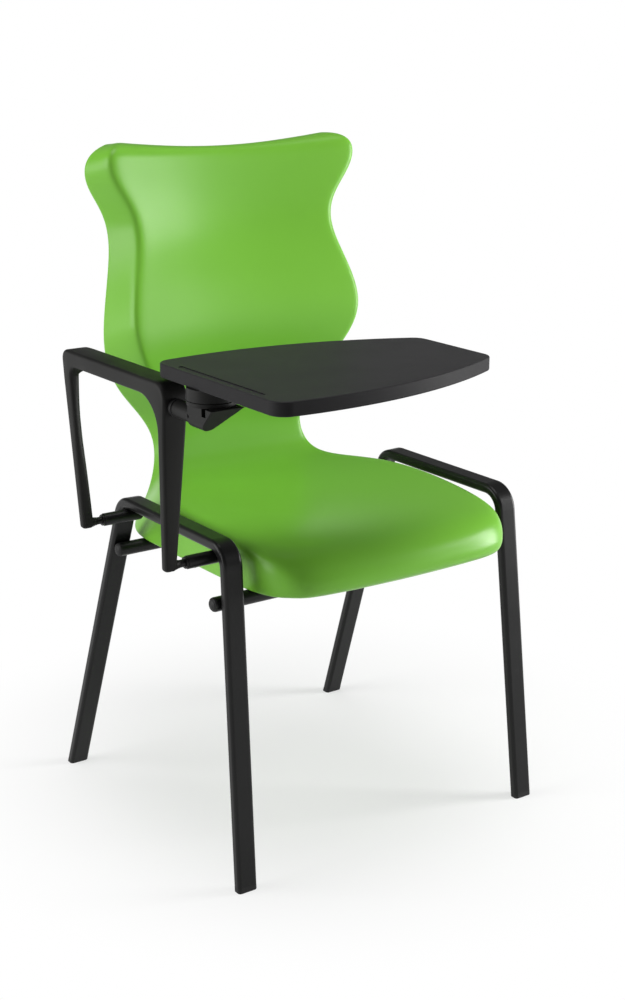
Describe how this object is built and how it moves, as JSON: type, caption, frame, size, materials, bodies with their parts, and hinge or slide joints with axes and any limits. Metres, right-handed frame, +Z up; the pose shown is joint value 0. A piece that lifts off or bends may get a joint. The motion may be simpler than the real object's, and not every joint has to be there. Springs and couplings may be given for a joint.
{
  "type": "school chair with writing tablet",
  "caption": "School chair with a moulded one-piece seat and back on a bent tube frame, a loop arm at the sitter's right and a writing tablet that tips up and swings round.",
  "frame": {"origin": "on the floor, in the middle of the box round the whole chair with its tablet down", "axes": "+Z up, the sitter faces -Y, the sitter's right is -X"},
  "size_m": [0.5947, 0.7128, 0.9639],
  "materials": {
    "shell": "satin moulded",
    "tube": "satin powder coat",
    "trim": "fine moulded texture",
    "arm": "satin moulded",
    "hinge": "satin moulded",
    "spigot": "satin powder coat",
    "tablet": "fine moulded texture",
    "steel": "zinc plated",
    "insert": "turned",
    "slip": "smooth"
  },
  "bodies": {
    "chair": {"seat_shell": "shell", "side_frame_right": "tube", "side_frame_left": "tube", "front_cross_tube": "tube", "rear_cross_tube": "tube", "arm_stub_front": "tube", "arm_stub_rear": "tube", "glide_front_right": "trim", "glide_front_left": "trim", "glide_rear_right": "trim", "glide_rear_left": "trim", "front_cross_caps": "trim", "rear_cross_caps": "trim", "stub_plugs": "trim", "thrust_ring": "trim", "arm_rest": "arm", "front_spigot": "spigot", "rear_spigot": "spigot", "seat_screws": "steel", "stub_set_screws": "steel", "pivot_shaft": "steel", "seat_inserts": "insert"},
    "hinge": {"tablet_bracket": "hinge", "bracket_set_screw": "steel", "slip_ring": "slip"},
    "tablet": {"swivel_drum": "hinge", "swivel_insert": "insert", "swivel_bolt": "steel", "tablet_screws": "steel", "tablet_board": "tablet"}
  },
  "joints": [
    {"name": "tablet_flip", "type": "hinge", "parent": "chair", "child": "hinge", "pos_m": [-0.27835, -0.12882, 0.6725], "axis": [0, -1, 0], "range_deg": [0, 90]},
    {"name": "tablet_swivel", "type": "hinge", "parent": "hinge", "child": "tablet", "pos_m": [-0.26435, -0.16432, 0.7], "axis": [0, 0, -1], "range_deg": [0, 180]}
  ]
}
